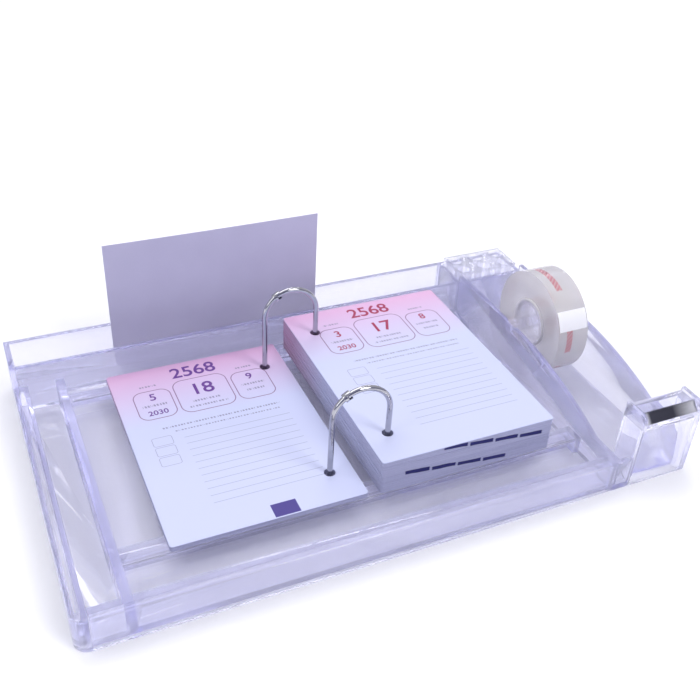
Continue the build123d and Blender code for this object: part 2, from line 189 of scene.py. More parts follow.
class Graph:
    """Node graph of one material, or of the surroundings."""

    def __init__(self, name: str, surroundings: bool = False) -> None:
        """Makes an empty graph.

        Args:
            name: Name of the material or of the world.
            surroundings: Whether the graph is the world's.
        """
        self.owner = (bpy.data.worlds if surroundings else bpy.data.materials).new(name)
        self.owner.use_nodes = True
        self.tree = self.owner.node_tree
        self.tree.nodes.clear()
        self.output = self.node("ShaderNodeOutputWorld" if surroundings else "ShaderNodeOutputMaterial")

    def node(
        self, kind: str, settings: dict[str, Any] | None = None, inputs: dict[Any, Any] | None = None
    ) -> bpy.types.Node:
        """Adds one node.

        Args:
            kind: Blender's type of the node.
            settings: Properties of the node, or the stops of a ramp, set before its sockets.
            inputs: Values or links by socket name or number.

        Returns:
            The node.
        """
        node = self.tree.nodes.new(kind)
        for key, value in (settings or {}).items():
            if key != "stops":
                setattr(node, key, value)
                continue
            for stop, (place, colour) in zip(node.color_ramp.elements, value):
                stop.position = place
                stop.color = (*colour, 1.0)
        for key, value in (inputs or {}).items():
            self.feed(node.inputs[key], value)
        return node

    def feed(self, socket: bpy.types.NodeSocket, value: Any) -> None:
        """Links a value to a socket, or sets the socket's own number or colour.

        Args:
            socket: Input socket.
            value: Value, output socket, number or colour.
        """
        if isinstance(value, Value):
            self.tree.links.new(value.socket, socket)
        elif isinstance(value, bpy.types.NodeSocket):
            self.tree.links.new(value, socket)
        elif isinstance(value, tuple) and len(value) == 3 and socket.type == "RGBA":
            socket.default_value = (*value, 1.0)
        else:
            socket.default_value = value

    def maths(self, operation: str, *values: Any) -> Value:
        """Adds one Math node.

        Args:
            operation: Math operation.
            values: Its one, two or three operands.

        Returns:
            The result.
        """
        inputs = dict(enumerate(values))
        node = self.node("ShaderNodeMath", {"operation": operation}, inputs)
        return Value(self, node.outputs[0])

    def mix(self, factor: Value, first: Any, second: Any) -> Value:
        """Mixes two colours.

        Args:
            factor: 0 for the first colour, 1 for the second.
            first: First colour.
            second: Second colour.

        Returns:
            The mixed colour.
        """
        inputs = {0: factor, 6: first, 7: second}
        node = self.node("ShaderNodeMix", {"data_type": "RGBA"}, inputs)
        return Value(self, node.outputs[2])

    def place(self) -> tuple[Value, Value, Value]:
        """Place on the object.

        Returns:
            Object coordinates in millimetres, as x, y and z.
        """
        source = self.node("ShaderNodeTexCoord").outputs["Object"]
        parts = self.node("ShaderNodeSeparateXYZ", None, {0: source})
        x, y, z = (Value(self, output) * (1 / MM) for output in parts.outputs)
        return x, y, z

    def page_place(self, width: float, depth: float) -> tuple[Value, Value]:
        """Place on a page in millimetres, from its UV map.

        Args:
            width: Page width.
            depth: Page depth.

        Returns:
            Distance from the left edge and from the front edge.
        """
        source = self.node("ShaderNodeUVMap", {"uv_map": PAGE_MAP}).outputs[0]
        parts = self.node("ShaderNodeSeparateXYZ", None, {0: source})
        return Value(self, parts.outputs[0]) * width, Value(self, parts.outputs[1]) * depth

    def noise(self, scale: float, stretch: Triple = (1.0, 1.0, 1.0), detail: float = 2.0) -> Value:
        """Noise on object coordinates.

        Args:
            scale: Features to a metre.
            stretch: Further scale along each axis.
            detail: Octaves.

        Returns:
            Noise from 0 to 1.
        """
        source = self.node("ShaderNodeTexCoord").outputs["Object"]
        mapped = self.node("ShaderNodeMapping", None, {"Vector": source, "Scale": stretch})
        inputs = {"Vector": mapped.outputs[0], "Scale": scale, "Detail": detail}
        return Value(self, self.node("ShaderNodeTexNoise", None, inputs).outputs[0])

    def bump(self, height: Value, depth: float, strength: float = 1.0) -> bpy.types.NodeSocket:
        """Bump from a height.

        Args:
            height: Height from 0 to 1.
            depth: Depth in millimetres.
            strength: Share of the bump that shows.

        Returns:
            The normal.
        """
        inputs = {"Height": height, "Distance": depth * MM, "Strength": strength}
        return self.node("ShaderNodeBump", None, inputs).outputs[0]

    def surface(self, inputs: dict[str, Any]) -> bpy.types.Material:
        """Ends the graph in a Principled shader.

        Args:
            inputs: Values or links by socket name.

        Returns:
            The material.
        """
        shader = self.node("ShaderNodeBsdfPrincipled", None, inputs)
        self.feed(self.output.inputs["Surface"], shader.outputs[0])
        return self.owner


# ------------------------------------------------------------------ finishes


@dataclass(frozen=True)
class ClearPlastic:
    """Polished clear moulding with a faint violet cast in its depth and a faint painted glow, an emission
    that is no lamp.
    """

    name: str = "clear_moulding"
    tint: Colour = (0.955, 0.955, 0.995)
    body: float = 0.84
    refraction: float = 1.46
    # painted glow: emission colour and strength that lighten the plastic as if it were lit; it is no lamp
    painted_glow: Colour = (0.56, 0.56, 0.80)
    painted_glow_strength: float = 0.045
    depth_tint: Colour = (0.44, 0.43, 0.95)
    depth_density: float = 18.0
    polish: float = 0.012
    haze: float = 0.07
    flow: float = 0.05
    flow_share: float = 0.14

    def build(self) -> bpy.types.Material:
        """Makes the material.

        Returns:
            Clear plastic with flow marks, handling haze, violet depth and a painted glow.
        """
        graph = Graph(self.name)
        wipe = graph.noise(scale=60.0, stretch=(1.0, 2.5, 1.0), detail=4.0).ramp(0.52, 0.72)
        flow = graph.noise(scale=22.0, stretch=(1.0, 1.0, 2.0), detail=1.0)
        depth = {"Color": self.depth_tint, "Density": self.depth_density}
        absorb = graph.node("ShaderNodeVolumeAbsorption", None, depth)
        graph.feed(graph.output.inputs["Volume"], absorb.outputs[0])
        return graph.surface({
            "Base Color": self.tint,
            "Roughness": wipe * self.haze + self.polish,
            "IOR": self.refraction,
            "Transmission Weight": 1.0,
            "Alpha": self.body,
            # painted glow: this emission brightens the plastic and its shaded parts; it is no lamp
            "Emission Color": self.painted_glow,
            "Emission Strength": self.painted_glow_strength,
            "Normal": graph.bump(flow, depth=self.flow, strength=self.flow_share),
        })


@dataclass(frozen=True)
class BrightMetal:
    """Polished or brushed metal."""

    name: str
    colour: Colour
    roughness: float
    grain: float
    stretch: Triple = (1.0, 1.0, 1.0)
    scale: float = 900.0
    patch: float = 0.6
    # darkening of the duller patches: a painted dark reflection
    patch_painted_darkening: float = 0.72

    def build(self) -> bpy.types.Material:
        """Makes the material.

        Returns:
            Metal with fine marks and a few duller patches, whose darkening is a painted dark reflection.
        """
        graph = Graph(self.name)
        marks = graph.noise(self.scale, self.stretch, detail=3.0)
        # duller patches: really rougher, and also darkened as a painted dark reflection
        dull_and_painted_reflection = graph.noise(scale=110.0, detail=3.0).ramp(0.45, 0.75)
        dark = tuple(part * self.patch_painted_darkening for part in self.colour)
        return graph.surface({
            "Base Color": graph.mix(dull_and_painted_reflection * self.patch, self.colour, dark),
            "Metallic": 1.0,
            "Roughness": marks * self.grain + dull_and_painted_reflection * 0.05 + self.roughness,
            "Normal": graph.bump(marks, depth=0.02, strength=0.25),
        })


@dataclass(frozen=True)
class BladeSteel:
    """Brushed steel strip, dark in its middle and bright at its ends."""

    name: str
    left: float
    right: float
    dark: Colour = (0.025, 0.025, 0.035)
    bright: Colour = (0.42, 0.42, 0.46)
    left_fade: tuple[float, float] = (3.5, 0.5)
    right_fade: tuple[float, float] = (15.0, 1.0)

    def build(self) -> bpy.types.Material:
        """Makes the material.

        Returns:
            Brushed steel.
        """
        graph = Graph(self.name)
        x = graph.place()[0]
        brush = graph.noise(scale=1600.0, stretch=(0.1, 1.0, 1.0), detail=3.0)
        left_end = x.ramp(*(self.left + inset for inset in self.left_fade))
        right_end = x.ramp(*(self.right - inset for inset in self.right_fade))
        ends = left_end.most(right_end) * (brush * 0.4 + 0.6)
        return graph.surface({
            "Base Color": graph.mix(ends, self.dark, self.bright),
            "Metallic": 1.0,
            "Roughness": brush * 0.15 + 0.24,
            "Normal": graph.bump(brush, depth=0.02, strength=0.3),
        })


@dataclass(frozen=True)
class PlainCard:
    """Smooth card or board."""

    name: str
    colour: Colour
    shade: Colour
    roughness: float = 0.62

    def build(self) -> bpy.types.Material:
        """Makes the material.

        Returns:
            Card with fibres and a cloudy tone.
        """
        graph = Graph(self.name)
        fibre = graph.noise(scale=1500.0, stretch=(1.0, 1.0, 0.35), detail=3.0)
        cloud = graph.noise(scale=28.0).ramp(0.3, 0.7)
        tone = graph.mix(cloud * 0.75 + fibre * 0.25, self.colour, self.shade)
        return graph.surface({
            "Base Color": tone,
            "Roughness": fibre * 0.12 + self.roughness,
            "Specular IOR Level": 0.35,
            "Normal": graph.bump(fibre, depth=0.03, strength=0.4),
        })


@dataclass(frozen=True)
class PaperStack:
    """Edges of many pages with painted shade between the leaves; the header colour and the month marks
    bleed to them.
    """

    name: str
    front: float
    marks_left: float
    top: float
    mark_rows: int
    tint_start: float = 5.0
    tint_end: float = 58.0
    paper: Colour = (0.58, 0.60, 0.79)
    # painted shade in the gaps between the leaves
    gap: Colour = (0.33, 0.33, 0.51)
    header: Colour = (0.52, 0.27, 0.44)
    ink: Colour = (0.035, 0.035, 0.16)
    mark_pitch: float = 15.2
    mark_half: float = 6.9
    mark_height: float = 1.15
    mark_step: float = 1.75
    mark_drop: float = 1.0
    mark_slant: float = 0.09
    mark_blur: tuple[float, float] = (0.12, 0.3)
    mark_skin: tuple[float, float] = (1.2, 0.6)
    row_drop: float = 9.6
    row_shift: float = -21.0
    marks_in_row: int = 4

    def month_marks(self, x: Value, y: Value, z: Value) -> Value:
        """Dark month marks that step down along the front edge.

        Args:
            x: Place along the front edge.
            y: Place towards the back.
            z: Height.

        Returns:
            1 on a mark.
        """
        high_blur, long_blur = self.mark_blur
        marks = []
        for row in range(self.mark_rows):
            for index in range(self.marks_in_row):
                middle = self.marks_left + row * self.row_shift + index * self.mark_pitch
                height = self.top - self.mark_drop - row * self.row_drop - index * self.mark_step
                rise = abs(z + (x - middle) * self.mark_slant - height)
                across = rise.ramp(self.mark_height + high_blur, self.mark_height - high_blur)
                along = abs(x - middle).ramp(self.mark_half + long_blur, self.mark_half - long_blur)
                marks.append(across * along)
        return reduce(Value.most, marks) * y.ramp(*(self.front + depth for depth in self.mark_skin))

    def build(self) -> bpy.types.Material:
        """Makes the material.

        Returns:
            Page edges, with painted shade between the leaves.
        """
        graph = Graph(self.name)
        x, y, z = graph.place()
        leaves = graph.noise(scale=40.0, stretch=(0.4, 0.4, 160.0))
        wide = graph.noise(scale=18.0, stretch=(0.6, 0.6, 40.0))
        lines = leaves.ramp(0.35, 0.65) * 0.55 + wide * 0.45
        # painted shade: the leaf lines darken the edge towards the gap colour, as shade between the leaves
        edge = graph.mix(lines, self.gap, self.paper)
        bleed = y.ramp(self.tint_start, self.tint_end) * (wide * 0.5 + 0.45)
        tinted = graph.mix(bleed.least(1.0), edge, self.header)
        marked = graph.mix(self.month_marks(x, y, z), tinted, self.ink) if self.mark_rows else tinted
        return graph.surface({
            "Base Color": marked,
            "Roughness": lines * 0.2 + 0.6,
            "Specular IOR Level": 0.25,
            "Normal": graph.bump(lines, depth=0.12, strength=0.7),
        })


@dataclass(frozen=True)
class Panel:
    """Rounded rectangle on a page, in millimetres from its lower left corner."""

    left: float
    right: float
    low: float
    high: float
    corner: float = 0.0

    def distance(self, x: Value, y: Value) -> Value:
        """Signed distance to the outline.

        Args:
            x: Place across the page.
            y: Place along the page.

        Returns:
            Distance in millimetres, negative inside.
        """
        side = abs(x - (self.left + self.right) / 2) - ((self.right - self.left) / 2 - self.corner)
        end = abs(y - (self.low + self.high) / 2) - ((self.high - self.low) / 2 - self.corner)
        over_side = side.most(0.0)
        over_end = end.most(0.0)
        outside = (over_side * over_side + over_end * over_end).root()
        return outside + side.most(end).least(0.0) - self.corner


@dataclass(frozen=True)
class PrintedPage:
    """Day page: a coloured header that fades out, three boxes, a small table and ruled lines.

    The rows of boxes, cells, bars and the stamp are left, right, low, high and corner radius.
    """

    name: str
    width: float
    depth: float
    shift: float
    stamped: bool
    paper: Colour = (0.60, 0.635, 0.86)
    header: Colour = (0.76, 0.40, 0.64)
    outline: Colour = (0.24, 0.13, 0.26)
    grey: Colour = (0.20, 0.19, 0.30)
    rule: Colour = (0.36, 0.39, 0.54)
    stamp: Colour = (0.07, 0.05, 0.26)
    line_low: float = 18.0
    line_pitch: float = 5.2
    line_count: int = 11
    line_ends: tuple[float, float] = (27.0, 86.0)
    fade_start: float = 51.0
    fade_end: float = 4.0
    box_line: float = 0.22
    cell_line: float = 0.1
    boxes: tuple[Row, ...] = (
        (9.5, 30.0, 92.5, 117.5, 5.5),
        (32.5, 63.0, 91.5, 121.0, 6.0),
        (65.5, 86.5, 92.0, 117.5, 5.5),
    )
    cells: tuple[Row, ...] = (
        (10.5, 21.0, 54.0, 60.8, 1.2),
        (10.5, 21.0, 62.0, 68.8, 1.2),
        (10.5, 21.0, 70.0, 76.8, 1.2),
    )
    bars: tuple[Row, ...] = (
        (15.0, 24.5, 121.2, 122.6),
        (71.0, 80.5, 121.0, 122.4),
        (12.8, 26.8, 103.2, 105.0),
        (40.0, 55.5, 99.6, 101.2),
        (37.0, 58.5, 95.2, 96.6),
        (68.8, 83.2, 104.4, 106.0),
        (71.0, 81.0, 99.2, 100.8),
        (17.5, 84.0, 82.6, 83.8),
        (24.0, 83.0, 78.6, 79.5),
    )
    stamp_box: Row = (51.5, 64.5, 0.6, 9.4)

    def panels(self, rows: Sequence[Row]) -> list[Panel]:
        """Panels of some rows, moved by the page's own shift."""
        return [Panel(left + self.shift, right + self.shift, *rest) for left, right, *rest in rows]

    def outlines(self, x: Value, y: Value, rows: Sequence[Row], half: float) -> Value:
        """Lines along the outlines of panels.

        Args:
            x: Place across the page.
            y: Place along the page.
            rows: Rows of the panels.
            half: Half of the line's width.

        Returns:
            1 on a line.
        """
        lines = [abs(panel.distance(x, y)).ramp(half + 0.12, half - 0.08) for panel in self.panels(rows)]
        return reduce(Value.most, lines)

    def small_print(self, x: Value, y: Value) -> Value:
        """Rows of tiny broken dashes.

        Args:
            x: Place across the page.
            y: Place along the page.

        Returns:
            1 on a dash.
        """
        bars = [bar.distance(x, y).ramp(0.15, -0.15) for bar in self.panels(self.bars)]
        broken = ((x * 0.61 + y * 0.13).fraction() < 0.62) * ((x * 0.23).fraction() > 0.14)
        return reduce(Value.most, bars) * broken

    def ruled_lines(self, x: Value, y: Value) -> Value:
        """Pale writing lines.

        Args:
            x: Place across the page.
            y: Place along the page.

        Returns:
            1 on a line.
        """
        row = ((y - self.line_low) / self.line_pitch).fraction()
        thin = abs(row - 0.5).ramp(0.045, 0.02)
        high = self.line_low + self.line_count * self.line_pitch
        within = (y > self.line_low) * (y < high)
        left, right = (end + self.shift for end in self.line_ends)
        across = (x > left) * (x < right)
        return thin * within * across

    def build(self) -> bpy.types.Material:
        """Makes the material.

        Returns:
            Printed page on the page's own UV map.
        """
        graph = Graph(self.name)
        x, y = graph.page_place(self.width, self.depth)
        fibre = graph.noise(scale=1700.0, detail=3.0)
        fade = y.ramp(self.depth - self.fade_start, self.depth - self.fade_end)
        colour = graph.mix(fade * fade * 0.16 + fade * 0.62, self.paper, self.header)
        for box in self.panels(self.boxes):
            inside = box.distance(x, y).ramp(0.1, -0.1)
            colour = graph.mix(inside * 0.08, colour, self.paper)
        colour = graph.mix(self.ruled_lines(x, y) * 0.95, colour, self.rule)
        colour = graph.mix(self.outlines(x, y, self.boxes, self.box_line), colour, self.outline)
        colour = graph.mix(self.outlines(x, y, self.cells, self.cell_line) * 0.8, colour, self.grey)
        colour = graph.mix(self.small_print(x, y) * 0.75, colour, self.grey)
        if self.stamped:
            stamp = Panel(*self.stamp_box).distance(x, y).ramp(0.08, -0.08)
            colour = graph.mix(stamp, colour, self.stamp)
        return graph.surface({
            "Base Color": colour,
            "Roughness": fibre * 0.1 + 0.5,
            "Specular IOR Level": 0.4,
            "Normal": graph.bump(fibre, depth=0.015, strength=0.3),
        })


@dataclass(frozen=True)
class FlatInk:
    """Printing ink of one colour."""

    name: str
    colour: Colour

    def build(self) -> bpy.types.Material:
        """Makes the material.

        Returns:
            Ink that lies a little unevenly on the paper.
        """
        graph = Graph(self.name)
        uneven = graph.noise(scale=900.0)
        worn = tuple(min(1.0, part + 0.08) for part in self.colour)
        return graph.surface({
            "Base Color": graph.mix(uneven.ramp(0.4, 0.8) * 0.5, self.colour, worn),
            "Roughness": uneven * 0.15 + 0.45,
        })


@dataclass(frozen=True)
class WoundFilm:
    """Clear tape, wound many times, with the marks of its core showing through."""

    name: str
    middle: Triple
    film: Colour = (0.88, 0.86, 0.87)
    print_red: Colour = (0.76, 0.12, 0.16)
    print_count: float = 5.0
    print_phase: float = 0.222
    print_offset: float = 2.5
    print_edge: tuple[float, float] = (2.3, 1.7)
    refraction: float = 1.4
    clear: float = 0.5
    body: float = 0.82

    def build(self) -> bpy.types.Material:
        """Makes the material.

        Returns:
            Milky film with rings on its ends and red dashes deep inside.
        """
        graph = Graph(self.name)
        x, y, z = graph.place()
        across = y - self.middle[1]
        up = z - self.middle[2]
        radius = (across * across + up * up).root()
        turn = graph.maths("ARCTAN2", up, across) * (self.print_count / (2 * math.pi)) + self.print_phase
        dash = abs(turn.fraction() - 0.5).ramp(0.34, 0.31)
        hatch = ((turn * 14.0 + x * 0.35).fraction() - 0.5).ramp(-0.35, 0.2) * 0.4 + 0.6
        band = abs(x - self.middle[0] + self.print_offset).ramp(*self.print_edge)
        rings = (radius * 1.6 + graph.noise(scale=14.0, detail=1.0) * 2.0).fraction()
        marked = graph.mix(dash * band * hatch * 0.85, self.film, self.print_red)
        return graph.surface({
            "Base Color": marked,
            "Roughness": rings * 0.1 + 0.1,
            "IOR": self.refraction,
            "Transmission Weight": self.clear,
            "Alpha": self.body,
            "Normal": graph.bump(rings, depth=0.05, strength=0.4),
        })


# ------------------------------------------------------------------ modelling helpers


def deselect() -> None:
    """Leaves nothing selected."""
    if bpy.context.object is not None and bpy.context.object.mode != "OBJECT":
        bpy.ops.object.mode_set(mode="OBJECT")
    bpy.ops.object.select_all(action="DESELECT")


def activate(piece: bpy.types.Object) -> None:
    """Makes one piece the only one that operators act on.

    Args:
        piece: Piece to select.
    """
    deselect()
    piece.select_set(True)
    bpy.context.view_layer.objects.active = piece


def settle(piece: bpy.types.Object) -> None:
    """Moves a piece's place into its mesh.

    Args:
        piece: Piece whose object is moved, turned or scaled.
    """
    activate(piece)
    bpy.ops.object.transform_apply(location=True, rotation=True, scale=True)


def start(name: str, primitive: Callable[..., Any], **settings: Any) -> bpy.types.Object:
    """Adds a primitive while nothing else is selected.

    Args:
        name: Name of the piece.
        primitive: Operator that adds it.
        settings: Settings of the operator.

    Returns:
        The new piece.
    """
    deselect()
    primitive(**settings)
    piece = bpy.context.object
    piece.name = name
    return piece


def edit_all(piece: bpy.types.Object) -> None:
    """Opens a piece in edit mode with all of it selected.

    Args:
        piece: Piece to edit.
    """
    activate(piece)
    bpy.ops.object.mode_set(mode="EDIT")
    bpy.ops.mesh.select_all(action="SELECT")


def pick_edges(piece: bpy.types.Object, test: Callable[[Vector, Vector], bool]) -> None:
    """Opens a piece in edit mode with some of its edges selected.

    Args:
        piece: Piece to edit.
        test: Whether an edge between two points is picked.
    """
    edit_all(piece)
    bpy.ops.mesh.select_mode(type="EDGE")
    bpy.ops.mesh.select_all(action="DESELECT")
    bpy.ops.object.mode_set(mode="OBJECT")
    points = piece.data.vertices
    for edge in piece.data.edges:
        edge.select = test(points[edge.vertices[0]].co, points[edge.vertices[1]].co)
    bpy.ops.object.mode_set(mode="EDIT")


def pick_faces(piece: bpy.types.Object, test: Callable[[bpy.types.MeshPolygon], bool]) -> None:
    """Opens a piece in edit mode with some of its faces selected.

    Args:
        piece: Piece to edit.
        test: Whether a face is picked.
    """
    edit_all(piece)
    bpy.ops.mesh.select_mode(type="FACE")
    bpy.ops.mesh.select_all(action="DESELECT")
    bpy.ops.object.mode_set(mode="OBJECT")
    for face in piece.data.polygons:
        face.select = test(face)
    bpy.ops.object.mode_set(mode="EDIT")


def close_edit() -> None:
    """Goes back to object mode."""
    bpy.ops.object.mode_set(mode="OBJECT")


def close_shell(threshold: float) -> None:
    """Merges the open piece's points, turns its faces outwards and closes it.

    Args:
        threshold: Points nearer than this are merged.
    """
    bpy.ops.mesh.select_all(action="SELECT")
    bpy.ops.mesh.remove_doubles(threshold=threshold)
    bpy.ops.mesh.normals_make_consistent(inside=False)
    close_edit()


def cut_across(piece: bpy.types.Object, place: Sequence[float], normal: Triple) -> None:
    """Divides the faces of a piece along a plane.

    Args:
        piece: Piece to divide.
        place: Point on the plane.
        normal: Direction that the plane faces.
    """
    edit_all(piece)
    bpy.ops.mesh.bisect(plane_co=place, plane_no=normal)
    close_edit()


def apply_modifier(piece: bpy.types.Object, kind: str, settings: dict[str, Any]) -> None:
    """Adds one modifier and applies it.

    Args:
        piece: Piece that is modified.
        kind: Blender's type of the modifier.
        settings: Properties of the modifier.
    """
    activate(piece)
    modifier = piece.modifiers.new(kind.lower(), kind)
    for key, value in settings.items():
        setattr(modifier, key, value)
    bpy.ops.object.modifier_apply(modifier=modifier.name)


def ease_edges(
    piece: bpy.types.Object, width: float, segments: int = 2, degrees: float = 50.0, clamp: bool = False
) -> None:
    """Rounds the sharp edges of a piece.

    Args:
        piece: Piece to round.
        width: Width of the rounding.
        segments: Steps in the rounding.
        degrees: Edges that turn by less stay as they are.
        clamp: Whether the width gives way where there is no room.
    """
    apply_modifier(piece, "BEVEL", {
        "width": width,
        "segments": segments,
        "limit_method": "ANGLE",
        "angle_limit": math.radians(degrees),
        "use_clamp_overlap": clamp,
    })


def smooth(piece: bpy.types.Object, degrees: float = 40.0) -> None:
    """Smooth shading below an angle.

    Args:
        piece: Piece to shade.
        degrees: Largest angle that is smooth.
    """
    activate(piece)
    bpy.ops.object.shade_smooth_by_angle(angle=math.radians(degrees))


def dress(
    piece: bpy.types.Object, finish: bpy.types.Material, slot: str, body: Body | None, *nodes: str
) -> bpy.types.Object:
    """Gives a piece its material and the body that it rides on, and hides the nodes it stands for.

    Args:
        piece: Finished piece.
        finish: Material.
        slot: Not used.
        body: Body that the piece moves with, or None, where it rides on no body.
        nodes: CAD nodes that it replaces.

    Returns:
        The piece.
    """
    piece.data.materials.clear()
    piece.data.materials.append(finish)
    if nodes:
        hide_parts(*nodes)
    if body is not None:
        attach(piece, body.value)
    LOG.info("%s: %d faces", piece.name, len(piece.data.polygons))
    return piece


def plate(name: str, low: Vector, high: Vector, corner: float = 0.0) -> bpy.types.Object:
    """Flat block between two corners, with its upright edges rounded.

    Args:
        name: Name of the piece.
        low: Lowest corner, in metres.
        high: Highest corner, in metres.
        corner: Radius of the upright edges, in metres.

    Returns:
        The block.
    """
    piece = start(name, bpy.ops.mesh.primitive_cube_add, size=1.0, location=(low + high) / 2)
    piece.scale = high - low
    settle(piece)
    if corner > 0:
        pick_edges(piece, lambda a, b: abs(a.z - b.z) > 0.5 * (high.z - low.z))
        bpy.ops.mesh.bevel(offset=corner, segments=6, affect="EDGES")
        close_edit()
    return piece


def punch(piece: bpy.types.Object, holes: Sequence[tuple[float, float]], radius: float) -> None:
    """Cuts round holes through a piece.

    Args:
        piece: Flat piece.
        holes: Places of the holes.
        radius: Radius of the holes.
    """
    cylinder = bpy.ops.mesh.primitive_cylinder_add
    for x, y in holes:
        cutter = start("punch", cylinder, vertices=36, radius=radius, depth=0.2, location=(x, y, 0))
        apply_modifier(piece, "BOOLEAN", {"object": cutter, "operation": "DIFFERENCE", "solver": "EXACT"})
        bpy.data.objects.remove(cutter)


def keep_in_box(piece: bpy.types.Object, low: Vector, high: Vector) -> None:
    """Pulls a piece's points inside a box.

    Args:
        piece: Piece that may stand proud of the box.
        low: Lowest corner.
        high: Highest corner.
    """
    for point in piece.data.vertices:
        for axis in range(3):
            point.co[axis] = min(max(point.co[axis], low[axis]), high[axis])


def copy_piece(source: bpy.types.Object, name: str) -> bpy.types.Object:
    """Copy with a mesh of its own and none of the source's marks.

    Args:
        source: Object to copy.
        name: Name of the copy.

    Returns:
        The copy, with no parent.
    """
    activate(source)
    bpy.ops.object.duplicate()
    piece = bpy.context.object
    piece.parent = None
    piece.matrix_world = Matrix.Identity(4)
    for key in [key for key in piece.keys() if key.startswith("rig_")]:
        del piece[key]
    piece.name = name
    return piece


def clean_copy(source: bpy.types.Object, name: str) -> bpy.types.Object:
    """Copy of a CAD node with its triangles merged into whole faces.

    Args:
        source: CAD node.
        name: Name of the copy.

    Returns:
        The copy.
    """
    piece = copy_piece(source, name)
    edit_all(piece)
    bpy.ops.mesh.remove_doubles(threshold=MERGE)
    bpy.ops.mesh.dissolve_limited(angle_limit=math.radians(0.5))
    close_edit()
    return piece


def join(pieces: Sequence[bpy.types.Object], name: str) -> bpy.types.Object:
    """Joins pieces into one.

    Args:
        pieces: Pieces to join.
        name: Name of the result.

    Returns:
        The joined piece.
    """
    deselect()
    for piece in pieces:
        piece.select_set(True)
    bpy.context.view_layer.objects.active = pieces[0]
    if len(pieces) > 1:
        bpy.ops.object.join()
    pieces[0].name = name
    return pieces[0]


# ------------------------------------------------------------------ sub-assemblies


@dataclass
class ClearMouldings:
    """Base tray, side module, cutter post, pen rack and tape hub, with softened edges."""

    nodes: dict[str, bpy.types.Object]
    edge: float = 0.28 * MM
    fine_edge: float = 0.08 * MM
    near: float = 0.01 * MM
    # colour of the hub's painted glow, an emission that lightens its shaded cavity
    hub_painted_glow: Colour = (0.86, 0.84, 0.90)
    finish: bpy.types.Material = field(init=False)
    thin_finish: bpy.types.Material = field(init=False)
    hub_finish: bpy.types.Material = field(init=False)

    def __post_init__(self) -> None:
        """Makes the three finishes of the mouldings."""
        self.finish = ClearPlastic().build()
        self.thin_finish = ClearPlastic(name="clear_thin_moulding", body=0.45).build()
        # the hub gets a stronger painted glow that lightens its shaded cavity; it is no lamp
        hub = ClearPlastic(name="clear_hub", body=0.3, painted_glow=self.hub_painted_glow, painted_glow_strength=0.16)
        self.hub_finish = hub.build()

    def soften(
        self, node: str, eased: Sequence[tuple[int, float, float]], edge: float
    ) -> bpy.types.Object:
        """Copy of a CAD node with small radii on its edges.

        Args:
            node: CAD node.
            eased: Faces that touch a neighbour, as axis, place and shift.
            edge: Width of the softened edges.

        Returns:
            The softened moulding.
        """
        piece = clean_copy(self.nodes[node], node + "_moulding")
        for axis, place, shift in eased:
            for point in piece.data.vertices:
                if abs(point.co[axis] - place) < self.near:
                    point.co[axis] += shift
        ease_edges(piece, edge, clamp=edge < self.edge)
        keep_in_box(piece, *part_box(node))
        smooth(piece)
        return piece

    def build(self) -> None:
        """Builds and dresses the mouldings."""
        module_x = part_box("side_module")[0].x
        post_low, post_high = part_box("cutter_post")
        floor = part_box("pen_rack")[0].z
        eases: dict[str, list[tuple[int, float, float]]] = {
            "base_tray": [],
            "side_module": [(0, module_x, HAIR)],
            "cutter_post": [(0, post_low.x, HAIR), (1, post_high.y, -HAIR)],
            "pen_rack": [(2, floor, HAIR)],
        }
        for node, eased in eases.items():
            is_rack = node == "pen_rack"
            finish = self.thin_finish if is_rack else self.finish
            edge = self.fine_edge if is_rack else self.edge
            dress(self.soften(node, eased, edge), finish, "clear_plastic", Body.BASE, node)
        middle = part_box("hub_right")[0].x
        for node, shift in (("hub_left", -HAIR), ("hub_right", HAIR)):
            piece = self.soften(node, [(0, middle, shift)], self.fine_edge)
            dress(piece, self.hub_finish, "hub_plastic", Body.HUB, node)


